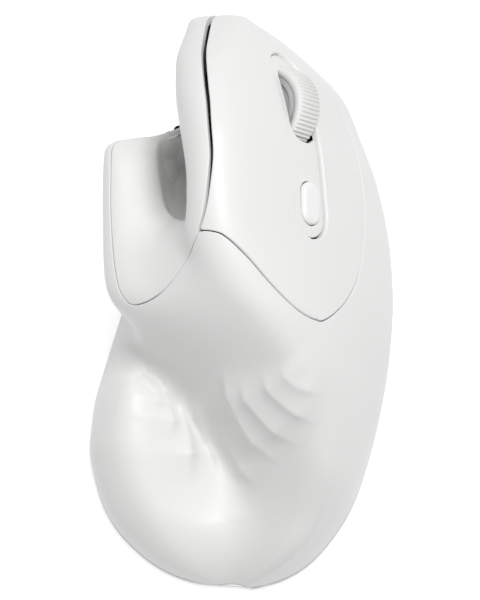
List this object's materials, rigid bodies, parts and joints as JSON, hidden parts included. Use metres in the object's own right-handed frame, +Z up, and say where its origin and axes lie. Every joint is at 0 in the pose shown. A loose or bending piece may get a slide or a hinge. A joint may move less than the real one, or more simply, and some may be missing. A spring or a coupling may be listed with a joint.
{
  "type": "vertical mouse",
  "caption": "Right-handed wireless vertical mouse with a thumb trough, sloped finger keys, ribbed scroll wheel, pill button and pleated palm hollow.",
  "frame": {"origin": "centre of the bounding box, on the plane that the glides rest on", "axes": "+Z up, +Y to the front, where the fingers point, +X to the right flank"},
  "size_m": [0.0662, 0.1208, 0.0651],
  "materials": {
    "shell_white": "fine satin white moulding",
    "button_white": "smooth satin white moulding",
    "tyre_white": "soft white elastomer",
    "hub_grey": "smooth",
    "frame_black": "fine texture",
    "steel": "plain",
    "board_green": "solder resist",
    "chip_black": "moulded epoxy",
    "switch_case": "smooth",
    "plunger_red": "smooth",
    "lens_clear": "clear moulding",
    "cell_jacket": "satin sleeve",
    "glide_white": "low-friction sheet",
    "cable_grey": "flexible film",
    "receiver_black": "satin"
  },
  "bodies": {
    "housing": {"main_shell": "shell_white", "thumb_panel": "shell_white", "key_bridge": "shell_white", "console_strip": "shell_white", "base_plate": "shell_white", "front_glide": "glide_white", "rear_glide": "glide_white", "base_screws": "steel", "board_screws": "steel", "chassis": "frame_black", "key_board": "board_green", "left_switch": "switch_case", "right_switch": "switch_case", "middle_switch": "switch_case", "dpi_switch": "switch_case", "wheel_encoder": "frame_black", "main_board": "board_green", "motion_sensor": "chip_black", "sensor_lens": "lens_clear", "power_switch": "frame_black", "aa_battery": "cell_jacket", "battery_spring": "steel", "battery_contact": "steel", "usb_receiver": "receiver_black", "side_board": "board_green", "side_switches": "switch_case", "ribbon_cable": "cable_grey"},
    "left_key": {"left_key": "shell_white"},
    "right_key": {"right_key": "shell_white"},
    "left_plunger": {"left_plunger": "plunger_red"},
    "right_plunger": {"right_plunger": "plunger_red"},
    "carriage": {"wheel_carriage": "hub_grey"},
    "wheel": {"wheel_axle": "steel", "wheel_hub": "hub_grey", "wheel_tyre": "tyre_white"},
    "pill": {"dpi_button": "button_white"},
    "back_button": {"back_button": "button_white"},
    "forward_button": {"forward_button": "button_white"},
    "power_slider": {"power_slider": "frame_black"},
    "battery_door": {"battery_door": "shell_white"}
  },
  "joints": [
    {"name": "left_key_press", "type": "hinge", "parent": "housing", "child": "left_key", "pos_m": [0.01077, 0.00339, 0.04673], "axis": [-0.6157, 0, 0.788], "range_deg": [0, 0.7], "stiffness_Nm_per_rad": 4},
    {"name": "right_key_press", "type": "hinge", "parent": "housing", "child": "right_key", "pos_m": [0.01077, 0.00339, 0.04673], "axis": [-0.6157, 0, 0.788], "range_deg": [0, 0.7], "stiffness_Nm_per_rad": 4},
    {"name": "left_plunger_press", "type": "slide", "parent": "housing", "child": "left_plunger", "axis": [-0.788, 0, -0.6157], "range_m": [0, 0.0005]},
    {"name": "right_plunger_press", "type": "slide", "parent": "housing", "child": "right_plunger", "axis": [-0.788, 0, -0.6157], "range_m": [0, 0.0005]},
    {"name": "wheel_press", "type": "slide", "parent": "housing", "child": "carriage", "axis": [-0.788, 0, -0.6157], "range_m": [0, 0.00045], "stiffness_N_per_m": 800},
    {"name": "wheel_spin", "type": "hinge", "parent": "carriage", "child": "wheel", "pos_m": [0.00782, 0.03699, 0.04176], "axis": [0.6157, 0, -0.788], "continuous": true},
    {"name": "pill_press", "type": "slide", "parent": "housing", "child": "pill", "axis": [-0.788, 0, -0.6157], "range_m": [0, 0.00035], "stiffness_N_per_m": 600},
    {"name": "back_button_press", "type": "slide", "parent": "housing", "child": "back_button", "axis": [1, 0, 0], "range_m": [0, 0.0004], "stiffness_N_per_m": 600},
    {"name": "forward_button_press", "type": "slide", "parent": "housing", "child": "forward_button", "axis": [1, 0, 0], "range_m": [0, 0.0004], "stiffness_N_per_m": 600},
    {"name": "power_slide", "type": "slide", "parent": "housing", "child": "power_slider", "axis": [0, 1, 0], "range_m": [0, 0.003]},
    {"name": "battery_door_lift", "type": "slide", "parent": "housing", "child": "battery_door", "axis": [0, 0, -1], "range_m": [0, 0.0007]}
  ],
  "couplings": [
    {"joint": "left_plunger_press", "follows": "left_key_press", "m_per_rad": 0.0385},
    {"joint": "right_plunger_press", "follows": "right_key_press", "m_per_rad": 0.0385}
  ]
}
